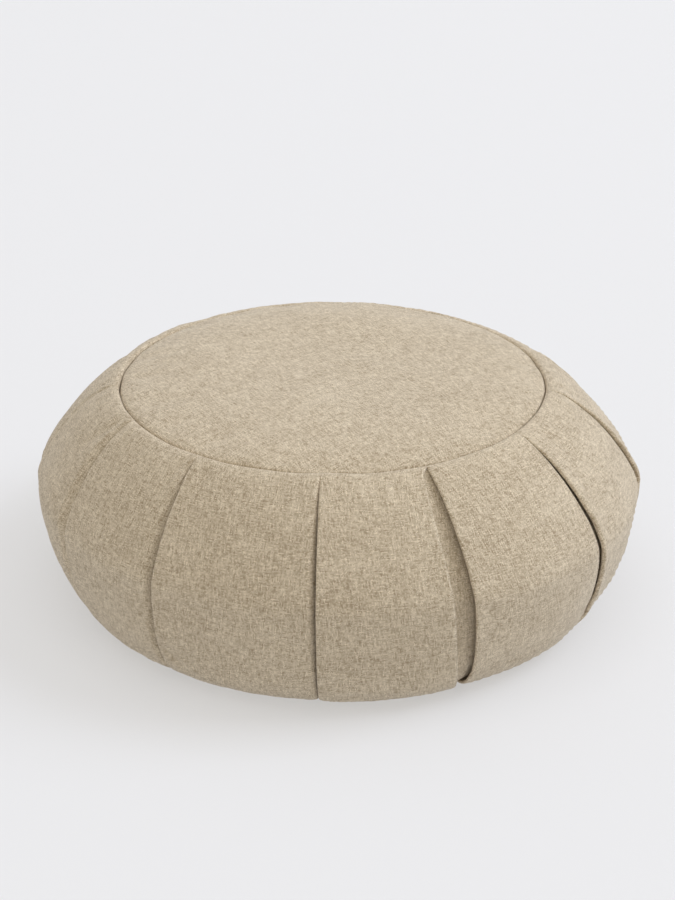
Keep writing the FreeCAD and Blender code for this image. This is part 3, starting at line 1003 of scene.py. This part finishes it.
            # the last columns cover where the cloth turns down to the next fold
            wide = np.maximum((far.strip or far.turn_down) * np.sin(math.pi * self.share) ** 0.4, 1.0)
            crease = 1 - np.degrees(wide / radius) / (right - left)
            inside = np.linspace(0, 1, self.turn_columns + 1)[1:, None] ** (1.5 if far.strip else 1.0)
            plain = self.spacing(self.panel_columns - self.turn_columns)[:, None] * crease
            share = np.concatenate([plain, crease + (1 - crease) * inside])
            azimuth = left + (right - left) * share
            to_left = np.radians(azimuth - left) * radius
            to_right = np.radians(right - azimuth) * radius
            fall = np.clip(1 - to_right / reach, 0, 1)
            dip = np.clip(1 - to_right / wide, 0, 1)
            if far.strip:
                # the cloth drops at a second crease and runs on low under the folded edge
                step = 0.82 * smooth(dip, 0, 0.07) + 0.18 * dip
                lift = -self.opening(far) * step + 0.6 * body * np.exp(-(((to_right - wide) / 5.0) ** 2))
            else:
                soft = self.soft_fall * body
                lift = -soft * fall**1.6 - (self.opening(far) - soft) * dip**1.3
            grip = np.maximum(1 - smooth(to_right / reach, 0.5, 1.1), smooth(dip, -0.1, 0.02))
            lift = lift + near.rim * body * np.exp(-((to_left / 7.0) ** 2))
            low = np.exp(-(((self.share - 0.86) / 0.1) ** 2))
            lift = lift + near.full * low * np.sin(math.pi * share) ** 0.5
            grip = np.maximum(np.exp(-((to_left / 3.0) ** 2)) * 0.9, grip)
            points.append(self.place(azimuth, lift))
            azimuths.append(azimuth)
            held.append(np.maximum(grip, sewn))
        return np.array(points), np.array(azimuths), np.array(held)

    def crease_depth(self, azimuth: np.ndarray) -> np.ndarray:
        """How deep the creases and the small unevenness of worn linen are.

        Args:
            azimuth: Degrees, with rows last.

        Returns:
            Depths in millimetres.
        """
        height = self.front[:, 1]
        depth = np.zeros(azimuth.shape)
        turned = (azimuth + 180) % 360 - 180
        scale = np.radians(1) * self.outline.bulge_radius
        for crease in self.creases:
            start = np.array([crease.start[0] * scale, crease.start[1]])
            way = np.array([crease.end[0] * scale, crease.end[1]]) - start
            x, y = turned * scale - start[0], height - start[1]
            share = np.clip((x * way[0] + y * way[1]) / (way @ way), 0, 1)
            off = np.hypot(x - share * way[0], y - share * way[1])
            depth += crease.depth * np.exp(-((off / crease.width) ** 2)) * (1 - share * 0.6)
        arc = np.radians(azimuth) * 150.0
        uneven = 0.35 * ripple(arc, self.run, 46.0, 3) + 0.16 * ripple(arc, self.run, 17.0, 5)
        gather = np.exp(-(((self.share - 0.04) / 0.05) ** 2)) * ripple(arc, self.run * 0.15, 9.0, 8) * 0.4
        body = smooth(self.share, 0.0, 0.06) * (1 - smooth(self.share, 0.9, 1.0))
        return (depth + uneven + gather) * body

    def fold(self, number: int, edge: np.ndarray, under: np.ndarray) -> np.ndarray:
        """The hidden part of one pleat, from the panel on its left to the one on its right.

        Args:
            number: Which pleat.
            edge: The right panel's first column.
            under: The left panel's last column.

        Returns:
            The columns between them.
        """
        pleat = self.pleats[number]
        normal = self.outward(self.edge(number))
        body = np.sin(math.pi * self.share)
        tuck = pleat.tuck_top + (pleat.tuck_bulge - pleat.tuck_top) * body
        roll = self.cloth * 0.62 + (pleat.roll - self.cloth * 0.62) * body
        radius = np.maximum(np.hypot(edge[:, 0], edge[:, 1]), 1)

        def step(along: np.ndarray, depth: np.ndarray) -> np.ndarray:
            """The edge moved round the cushion by along and inwards by depth."""
            moved = edge - normal * depth[:, None]
            turn = along / radius
            x = moved[:, 0] * np.cos(turn) - moved[:, 1] * np.sin(turn)
            y = moved[:, 0] * np.sin(turn) + moved[:, 1] * np.cos(turn)
            return np.stack([x, y, moved[:, 2]], 1)

        back = 2 * roll + 0.1
        inner = np.full(len(roll), self.cloth * 0.6)
        gap = np.linalg.norm(edge - under, axis=1)
        beneath = np.maximum(back + 2 * inner, gap)
        columns = [step(tuck * share, gap + (beneath - gap) * share) for share in (0.35, 0.75)]
        columns.append(step(tuck, beneath))
        columns.append(step(tuck + inner, (beneath + back) / 2))
        columns.append(step(tuck, back))
        columns.append(step(tuck * 0.5, back))
        for turn in (180, 150, 120, 90, 60, 30):
            bend = math.radians(turn)
            columns.append(step(-roll * math.sin(bend), roll * (1 - math.cos(bend))))
        return np.array(columns)

    def shape(self) -> np.ndarray:
        """The visible panels, inflated, creased and kept off the floor.

        Returns:
            Points, each panel by column by row.
        """
        points, azimuth, held = self.panels()
        count, columns, rows, _ = points.shape
        outward = self.outward(azimuth)
        faces = grid_faces(count * columns, rows, True)
        shaped = self.inflation.run(points, faces, held.reshape(-1)).reshape(points.shape)
        shaped = shaped - outward * self.crease_depth(azimuth)[..., None]
        shaped[..., 2] = np.maximum(shaped[..., 2], self.outline.floor_height)
        return shaped

    def make(self) -> bpy.types.Object:
        """Builds the strip with its folds, and its thread map.

        Returns:
            The piece.
        """
        shaped = self.shape()
        columns, threads = [], []
        rows = len(self.share)
        for number in range(len(self.pleats)):
            panel = shaped[number]
            fold = self.fold(number, panel[0], shaped[number - 1][-1])
            strip = np.concatenate([fold, panel])
            step = np.linalg.norm(np.diff(strip, axis=0), axis=2)
            across = np.concatenate([np.zeros((1, rows)), np.cumsum(step, axis=0)])
            middle = len(fold) + self.panel_columns // 2
            across = across - across[middle] + 110.0 * number
            columns.append(strip)
            threads.append(np.stack([across, np.broadcast_to(self.run, across.shape)], -1))
        points = np.concatenate(columns)
        faces = grid_faces(len(points), rows, True)
        side = build("cover_side_band_linen", points, faces, np.concatenate(threads))
        thicken(side, self.cloth)
        return side


@dataclass
class RoundPanel:
    """A round panel of the cover, made of spokes and rings about its middle point."""

    name: str
    spokes: int = 180
    cloth: float = 0.8

    @property
    def azimuth(self) -> np.ndarray:
        """The azimuth of each spoke, as a column."""
        return np.linspace(0, 360, self.spokes, endpoint=False)[:, None]

    def turned(self, radius: np.ndarray, height: np.ndarray) -> np.ndarray:
        """Points by spoke and ring.

        Args:
            radius: The radius by spoke and ring.
            height: The height by spoke and ring.

        Returns:
            Points in millimetres.
        """
        return around_middle(np.radians(self.azimuth), radius, height)

    def faces(self, rings: int, facing_up: bool) -> list[list[int]]:
        """The panel's faces, with a fan round its middle point, which is the last vertex.

        Args:
            rings: How many rings.
            facing_up: Which way the panel faces.

        Returns:
            Vertex numbers of each face.
        """
        quads = grid_faces(self.spokes, rings, True).tolist()
        middle = self.spokes * rings
        fan = [[middle, spoke * rings, (spoke + 1) % self.spokes * rings] for spoke in range(self.spokes)]
        return quads + fan if facing_up else [face[::-1] for face in quads + fan]

    def make(
        self, points: np.ndarray, middle_height: float, facing_up: bool, twist: float
    ) -> bpy.types.Object:
        """Builds the panel.

        Args:
            points: Points by spoke by ring.
            middle_height: The height of its middle.
            facing_up: Which way it faces.
            twist: The angle between its threads and the frame's X axis.

        Returns:
            The piece.
        """
        flat = np.concatenate([points.reshape(-1, 3), [[0, 0, middle_height]]])
        turn = math.radians(twist)
        threads = np.stack([flat[:, 0] * math.cos(turn) + flat[:, 1] * math.sin(turn),
                            flat[:, 1] * math.cos(turn) - flat[:, 0] * math.sin(turn)], 1)
        panel = build(self.name, flat, self.faces(points.shape[1], facing_up), threads)
        thicken(panel, self.cloth)
        return panel


@dataclass
class TopPanel:
    """The crowned panel that is sat on. It is flatter in front and fuller at the back."""

    outline: Outline = field(default_factory=Outline)
    crown: float = 8.6
    front_power: float = 2.6
    back_power: float = 6.5
    ring_count: int = 44
    twist: float = 33.0
    inflation: Inflation = field(default_factory=lambda: Inflation(2.2, 10, 0.004, 3.0))

    def make(self) -> bpy.types.Object:
        """Builds and inflates the panel.

        Returns:
            The piece.
        """
        panel = RoundPanel("cover_top_panel_linen")
        outline = self.outline
        edge = outline.seam_radius - outline.seam_half_gap
        roll = outline.seam_roll
        azimuth = panel.azimuth
        seam = outline.seam_height - outline.drop(azimuth)
        middle = outline.seam_height + self.crown
        radii = np.linspace(2.5, edge - 1.6 * roll, self.ring_count)
        away = np.abs((azimuth + 180) % 360 - 180)
        power = self.front_power + (self.back_power - self.front_power) * smooth(away, 60, 140)
        dome = seam + (middle - seam) * (1 - (radii / edge) ** power)
        lip = [(-0.9 * roll, -0.1 * roll, 0), (-0.25 * roll, -0.4 * roll, 0.3), (0.1, -roll, 0.75),
               (0.0, -outline.lip / 2, 0), (0.0, -outline.lip, 0)]
        closed = outline.closed(azimuth)
        ends = [seam + rise + lift * roll * closed for _, rise, lift in lip]
        height = np.concatenate([dome, *ends], 1)
        radius = np.concatenate([radii, [edge + out for out, _, _ in lip]])
        radius = radius + outline.wander(azimuth) * smooth(radius, edge - 25, edge)
        points = panel.turned(radius, height)
        flat = np.concatenate([points.reshape(-1, 3), [[0, 0, middle]]])
        held = smooth(np.hypot(flat[:, 0], flat[:, 1]), edge - 3.5, edge - 1.5)
        moved = self.inflation.run(flat, panel.faces(len(radius[0]), True), held)
        points, middle = moved[:-1].reshape(points.shape), float(moved[-1, 2])
        fade = 1 - smooth(np.hypot(points[..., 0], points[..., 1]), edge - 14, edge - 1)
        uneven = 0.5 * ripple(points[..., 0], points[..., 1], 75.0, 21)
        uneven += 0.12 * ripple(points[..., 0], points[..., 1], 24.0, 22)
        points[..., 2] += uneven * fade
        return panel.make(points, middle, True, self.twist)


@dataclass
class BottomPanel:
    """The flat panel that lies on the floor, its rear edge turned up beside the zip's channel."""

    outline: Outline = field(default_factory=Outline)
    channel: Channel = field(default_factory=Channel)
    channel_edge: float = 118.4
    ring_count: int = 26

    def rings(self, edge: float, ends: list[tuple[float, float]]) -> np.ndarray:
        """The flat rings out to an edge, the turn upwards and the lip's ends.

        Args:
            edge: The lip's radius.
            ends: Radius and height of the lip's last rings.

        Returns:
            Radius and height of each ring.
        """
        floor = self.outline.floor_height
        flat = [(radius, floor) for radius in np.linspace(4.0, edge - 1.8, self.ring_count)]
        return np.array([*flat, (edge - 0.6, floor + 0.6), *ends])

    def make(self) -> bpy.types.Object:
        """Builds the panel.

        Returns:
            The piece.
        """
        tape = self.outline.tape_height
        edge = self.outline.seam_radius - self.outline.seam_half_gap
        front = self.rings(edge, [(edge, 3.0), (edge, 5.5), (edge, 8.0)])
        edge = self.channel_edge
        rear = self.rings(edge, [(edge, tape * 0.5), (edge - 0.5, tape - 0.4), (edge - 4.0, tape)])
        panel = RoundPanel("cover_bottom_panel_linen")
        share = self.channel.share(panel.azimuth)[..., None]
        line = front * (1 - share) + rear * share
        points = panel.turned(line[..., 0], line[..., 1])
        return panel.make(points, self.outline.floor_height, False, 12.0)


@dataclass
class SeamStitches:
    """Lockstitches along a seam, each one a short thread pulled down between the two edges."""

    name: str
    radius: float
    height: float
    follows: Outline | None = None
    start: float = 0.0
    sweep: float = 360.0
    pitch: float = 3.0
    stitch: float = 2.3
    thread: float = 0.5
    sides: int = 6

    def ring(self, middle: float, share: float, size: float, low: float) -> list[tuple[float, float, float]]:
        """One ring of points round a stitch's thread.

        Args:
            middle: The stitch's azimuth in degrees.
            share: Where along the stitch, from -0.5 to 0.5.
            size: The thread's radius there.
            low: How far it is above the stitch's top there, below zero for under it.

        Returns:
            The ring's points.
        """
        azimuth = middle + math.degrees(share * self.stitch / self.radius)
        radius, height = self.radius, self.height + low
        if self.follows:
            radius += float(self.follows.wander(np.array(azimuth)))
            height -= float(self.follows.drop(np.array(azimuth)))
        angle = math.radians(azimuth)
        points = []
        for side in range(self.sides):
            turn = 2 * math.pi * side / self.sides
            out = radius + size * math.cos(turn)
            points.append((out * math.sin(angle), -out * math.cos(angle), height + size * math.sin(turn)))
        return points

    def make(self) -> bpy.types.Object:
        """Builds all the stitches as one piece.

        Returns:
            The piece.
        """
        rising = [(-0.5, 0.25, -0.5), (-0.38, 0.9, -0.12)]
        bends = [*rising, (0.0, 1.0, 0.0), *[(-share, thick, low) for share, thick, low in rising[::-1]]]
        count = int(math.radians(self.sweep) * self.radius / self.pitch)
        points, faces = [], []
        for number in range(count):
            middle = self.start + self.sweep * (number + 0.5) / count
            base = len(points)
            for share, thick, low in bends:
                points += self.ring(middle, share, thick * self.thread / 2, low)
            faces += tube_faces(base, len(bends), self.sides)
        return build(self.name, np.array(points), faces)


@dataclass
class Cover:
    """The removable linen cover."""

    outline: Outline = field(default_factory=Outline)

    def make(self) -> None:
        linen = LINEN.material()
        side = PleatedSide(self.outline).make()
        dress(side, linen, "oatmeal_linen", "cover_side_band")
        top = TopPanel(self.outline).make()
        dress(top, linen, "oatmeal_linen", "cover_top_panel")
        bottom = BottomPanel(self.outline).make()
        dress(bottom, linen, "oatmeal_linen", "cover_bottom_panel")
        thread = COVER_THREAD.material()
        radius, height = self.outline.seam_radius, self.outline.seam_height - 2.6
        seam = SeamStitches("top_seam_stitches", radius, height, follows=self.outline)
        dress(seam.make(), thread, "linen_coloured_thread", "top_seam_thread")
        foot = SeamStitches("bottom_seam_stitches", radius, 3.6, start=-98.0, sweep=200.0)
        dress(foot.make(), thread, "linen_coloured_thread", "bottom_seam_thread")


# The liner and what fills it


@dataclass
class TurnedCloth:
    """A piece of the liner: a line turned about the cushion's middle, with soft puckers."""

    name: str
    line: list[tuple[float, float]]
    pucker: float
    columns: int = 150
    cloth: float = 0.6

    def make(self, closed_middle: bool) -> bpy.types.Object:
        """Builds the piece.

        Args:
            closed_middle: Whether the line starts at the cushion's middle.

        Returns:
            The piece.
        """
        line = np.array(self.line)
        azimuth = np.radians(np.linspace(0, 360, self.columns, endpoint=False))[:, None]
        run = np.concatenate([[0], np.cumsum(np.hypot(*np.diff(line, axis=0).T))])
        fade = np.sin(math.pi * run / run[-1]) ** 0.6
        push = self.pucker * ripple(azimuth * 120.0, run, 22.0, 31) * fade
        radius = line[:, 0] + push * (0.0 if closed_middle else 1.0)
        height = line[:, 1] + push * (1.0 if closed_middle else 0.0)
        angle = azimuth + 0 * run
        points = around_middle(angle, radius, height).reshape(-1, 3)
        threads = np.stack([angle * 140.0, run + 0 * angle], -1).reshape(-1, 2)
        faces = grid_faces(self.columns, len(line), True).tolist()
        if closed_middle:
            middle = len(points)
            rows = len(line)
            points = np.concatenate([points, [[0, 0, line[0, 1]]]])
            faces += [[middle, c * rows, (c + 1) % self.columns * rows] for c in range(self.columns)]
            threads = points[:, :2]
        piece = build(self.name, points, faces, threads)
        thicken(piece, self.cloth)
        return piece


@dataclass
class Liner:
    """The inner bag of cotton calico, smaller than the cover, and the hulls in it."""

    bulge_radius: float = 165.5
    bulge_height: float = 66.0
    seam_radius: float = 120.6
    seam_height: float = 115.2
    rise: float = 12.2
    foot_radius: float = 139.5
    foot_height: float = 9.6
    floor_height: float = 2.4
    slope: tuple[float, float] = (106.0, 111.5)
    foot_seam: float = 123.0
    inset: float = 1.6
    whip_count: int = 17
    whip_start: float = 150.0
    whip_sweep: float = 40.0
    whip_reach: float = 1.7
    whip_rise: float = 1.1
    whip_thread: float = 0.28

    def side_line(self, inset: float) -> list[tuple[float, float]]:
        """The liner's side in section.

        Args:
            inset: How far inside the cloth the line lies.

        Returns:
            Radius and height of each point, from top to bottom.
        """
        turn = np.linspace(0, math.pi / 2, 18)
        bulge = self.bulge_radius - inset
        top, foot = self.seam_height - inset, self.foot_height + inset
        upper = [
            (self.seam_radius + 0.8 + (bulge - self.seam_radius) * (1 - math.sin(a) ** 1.5) ** (1 / 1.5),
             self.bulge_height + (top - self.bulge_height) * math.sin(a))
            for a in turn
        ]
        lower = [
            (self.foot_radius + (bulge - self.foot_radius) * math.cos(a),
             self.bulge_height + (foot - self.bulge_height) * math.sin(a))
            for a in turn[1:]
        ]
        return upper[::-1] + lower

    def top_line(self, inset: float) -> list[tuple[float, float]]:
        """The liner's domed top in section.

        Args:
            inset: How far inside the cloth the line lies.

        Returns:
            Radius and height of each point, from the middle outwards.
        """
        edge = self.seam_radius - 0.8 - inset
        return [
            (edge * share, self.seam_height - inset + self.rise * (1 - share**2.6))
            for share in np.linspace(0.03, 1, 24)
        ]

    def make(self) -> None:
        calico = CALICO.material()
        foot = self.foot_height
        lip = [(self.foot_seam + 0.8, foot), (self.foot_seam + 0.8, foot + 4.5)]
        side_line = [(self.seam_radius + 0.8, self.seam_height - 4.5), *self.side_line(0.0), *lip]
        side = TurnedCloth("liner_side_band_cotton", side_line, 0.7, 240).make(False)
        dress(side, calico, "undyed_cotton", "liner_side_band")
        edge = self.seam_radius - 0.8
        top_line = [*self.top_line(0.0), (edge, self.seam_height - 4.5)]
        top = TurnedCloth("liner_top_panel_cotton", top_line, 0.35).make(True)
        dress(top, calico, "undyed_cotton", "liner_top_panel")
        inner = self.foot_seam - 0.8
        flat = [(r, self.floor_height) for r in np.linspace(3, self.slope[0], 18)]
        bottom_line = [*flat, (self.slope[1], foot), (inner, foot), (inner, foot + 4.5)]
        piece = TurnedCloth("liner_bottom_panel_cotton", bottom_line, 0.0).make(True)
        piece.data.flip_normals()
        dress(piece, calico, "undyed_cotton", "liner_bottom_panel")
        thread = LINER_THREAD.material()
        seam = SeamStitches("liner_top_seam_stitches", self.seam_radius, self.seam_height - 2.2)
        dress(seam.make(), thread, "white_cotton_thread", "liner_top_seam_thread")
        low = SeamStitches("liner_bottom_seam_stitches", self.foot_seam, foot + 2.2)
        dress(low.make(), thread, "white_cotton_thread", "liner_bottom_seam_thread")
        self.closing_stitches(thread)
        self.filling()

    def closing_stitches(self, thread: bpy.types.Material) -> None:
        """Whip stitches over the edge where the liner was filled.

        Args:
            thread: Their material.
        """
        points, faces = [], []
        sides, bends = 6, 9
        for number in range(self.whip_count):
            share = number / (self.whip_count - 1)
            azimuth = math.radians(self.whip_start + self.whip_sweep * share)
            base = len(points)
            for bend in range(bends):
                turn = math.pi * bend / (bends - 1)
                out = -self.whip_reach * math.cos(turn)
                up = 0.3 + self.whip_rise * math.sin(turn)
                lean = 0.012 * math.cos(turn)
                for side in range(sides):
                    around = 2 * math.pi * side / sides
                    radius = self.seam_radius + out * (1 + 0.18 * math.cos(around))
                    height = self.seam_height + up + self.whip_thread * math.cos(around)
                    angle = azimuth + lean + self.whip_thread * math.sin(around) / self.seam_radius
                    points.append((radius * math.sin(angle), -radius * math.cos(angle), height))
            faces += tube_faces(base, bends, sides)
        piece = build("liner_whip_stitches", np.array(points), faces)
        dress(piece, thread, "white_cotton_thread", "liner_closing_stitches")

    def filling(self) -> None:
        """The hulls, as the lumpy mass that they settle into."""
        inset = self.inset
        under = self.seam_height - 5.2
        top = self.top_line(inset)
        top = [(r, z) for r, z in top if z > under + 1.0]
        side = [(r, z) for r, z in self.side_line(inset) if z < under]
        over = self.foot_height + 5.6
        low = [(self.foot_seam + 3.0, over), (self.foot_seam - 3.5, over)]
        floor = self.floor_height + inset
        flat = [(self.slope[1] - inset, self.foot_height + inset), (self.slope[0] - inset, floor)]
        flat += [(r, floor) for r in np.linspace(self.slope[0] - 6, 3, 16)]
        line = np.array([*top, *side, *low, *flat])
        run = np.concatenate([[0], np.cumsum(np.hypot(*np.diff(line, axis=0).T))])
        even = np.linspace(0, run[-1], 200)
        line = np.stack([np.interp(even, run, line[:, 0]), np.interp(even, run, line[:, 1])], 1)
        columns = 240
        azimuth = np.radians(np.linspace(0, 360, columns, endpoint=False))[:, None]
        along = np.gradient(line, axis=0)
        along /= np.linalg.norm(along, axis=1, keepdims=True)
        lump = 0.45 * ripple(azimuth * 130.0, even, 9.0, 41) + 0.3 * ripple(azimuth * 130.0, even, 5.0, 42)
        lump = np.clip(lump, -1.1, 0.9) - 0.4
        radius = line[:, 0] - along[:, 1] * lump
        height = line[:, 1] + along[:, 0] * lump
        points = around_middle(azimuth, radius, height).reshape(-1, 3)
        rows = len(line)
        faces = grid_faces(columns, rows, True).tolist()
        first, last = len(points), len(points) + 1
        points = np.concatenate([points, [[0, 0, line[0, 1]], [0, 0, line[-1, 1]]]])
        faces += [[first, c * rows, (c + 1) % columns * rows] for c in range(columns)]
        faces += [[last, (c + 1) % columns * rows + rows - 1, c * rows + rows - 1] for c in range(columns)]
        piece = build("buckwheat_hull_filling", points, faces)
        dress(piece, HULLS.material(), "buckwheat_hulls", "buckwheat_filling")


# The zip


@dataclass
class Zip:
    """The concealed zip: its CAD pieces keep their shape and get their finishes."""

    finishes: dict[str, object] = field(
        default_factory=lambda: {
            "zip_tape_panel_side": TAPE,
            "zip_tape_band_side": TAPE,
            "zip_stitching_panel_side": COVER_THREAD,
            "zip_stitching_band_side": COVER_THREAD,
            "zip_teeth_panel_side": NYLON,
            "zip_teeth_band_side": NYLON,
            "zip_end_stops": ANTIQUE_BRASS,
            "zip_slider": ANTIQUE_BRASS,
            "zip_pull_tab": ANTIQUE_BRASS,
        }
    )

    def make(self, nodes: dict[str, bpy.types.Object]) -> None:
        """Dresses the zip's nodes.

        Args:
            nodes: The frame's CAD nodes by name.
        """
        made: dict[str, bpy.types.Material] = {}
        for name, finish in self.finishes.items():
            if finish.name not in made:
                made[finish.name] = finish.material()
            for place in nodes[name].material_slots:
                place.material = made[finish.name]
            LOG.info("%s: %s", name, finish.name)


# The studio


@dataclass
class Studio:
    """A lit sweep, soft lamps and the camera."""

    camera_height: float = 632.0
    camera_distance: float = 1147.4
    camera_side: float = 0.7
    camera_pitch: float = 25.75
    lens: float = 85.0
    surface: LitSweep = field(default_factory=LitSweep)

    def sweep(self) -> None:
        """Builds the floor and the wall behind as one curved sheet."""
        turn = np.linspace(0, math.pi / 2, 24)
        bend, back = 1400.0, 2600.0
        line = [(-16000.0, 0.0), *[(back + bend * math.sin(a), bend * (1 - math.cos(a))) for a in turn]]
        line.append((back + bend, 9000.0))
        points = [(side, y, z) for side in (-16000.0, 16000.0) for y, z in line]
        count = len(line)
        faces = [[i, i + count, i + count + 1, i + 1] for i in range(count - 1)]
        floor = build("studio_sweep", np.array(points), faces)
        floor.data.materials.append(self.surface.material())
        floor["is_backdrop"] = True

    def lamp(
        self, name: str, where: tuple[float, float, float], size: float, watts: float, tint: str
    ) -> None:
        """Adds a soft area lamp that faces the cushion.

        Args:
            name: Its name.
            where: Its place, in metres.
            size: Its width, in metres.
            watts: Its power.
            tint: Its colour.
        """
        light = bpy.data.lights.new(name, "AREA")
        light.size = size
        light.energy = watts
        light.color = linear(tint)[:3]
        lamp = bpy.data.objects.new(name, light)
        lamp.location = where
        lamp.rotation_euler = (Vector((0, 0, 0.06)) - Vector(where)).to_track_quat("-Z", "Y").to_euler()
        bpy.context.scene.collection.objects.link(lamp)

    def make(self) -> None:
        """Builds the sweep, the lamps, the even light of the room and the camera."""
        self.sweep()
        self.lamp("key_softbox", (8.4, 2.6, 7.2), 8.0, 1030.0, "eef4ff")
        self.lamp("overhead_softbox", (-0.8, -1.0, 10.0), 8.0, 180.0, "ffffff")
        world = bpy.data.worlds.new("studio_room")
        world.use_nodes = True
        world.node_tree.nodes["Background"].inputs["Color"].default_value = linear("fff8ec")
        world.node_tree.nodes["Background"].inputs["Strength"].default_value = 0.645
        bpy.context.scene.world = world
        bpy.context.scene.view_settings.view_transform = "Standard"
        camera = bpy.data.cameras.new("camera")
        camera.lens = self.lens
        camera.sensor_width = 36.0
        camera.clip_end = 50.0
        eye = bpy.data.objects.new("camera", camera)
        eye.location = (self.camera_side * MM, -self.camera_distance * MM, self.camera_height * MM)
        eye.rotation_euler = (math.radians(90 - self.camera_pitch), 0, 0)
        bpy.context.scene.collection.objects.link(eye)
        bpy.context.scene.camera = eye


def main() -> dict[str, object]:
    """Builds the studio, the cover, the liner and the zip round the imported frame.

    Returns:
        The CAD model's box, as read straight after loading.
    """
    logging.basicConfig(level=logging.INFO, format="%(name)s %(message)s")
    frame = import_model()
    cad_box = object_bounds()
    Studio().make()
    Liner().make()
    Cover().make()
    Zip().make(frame["nodes"])
    visual_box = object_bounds()
    boxes = {"cad": [list(map(float, corner)) for corner in cad_box],
             "visual": [list(map(float, corner)) for corner in visual_box]}
    return boxes


if __name__ == "__main__":
    main()
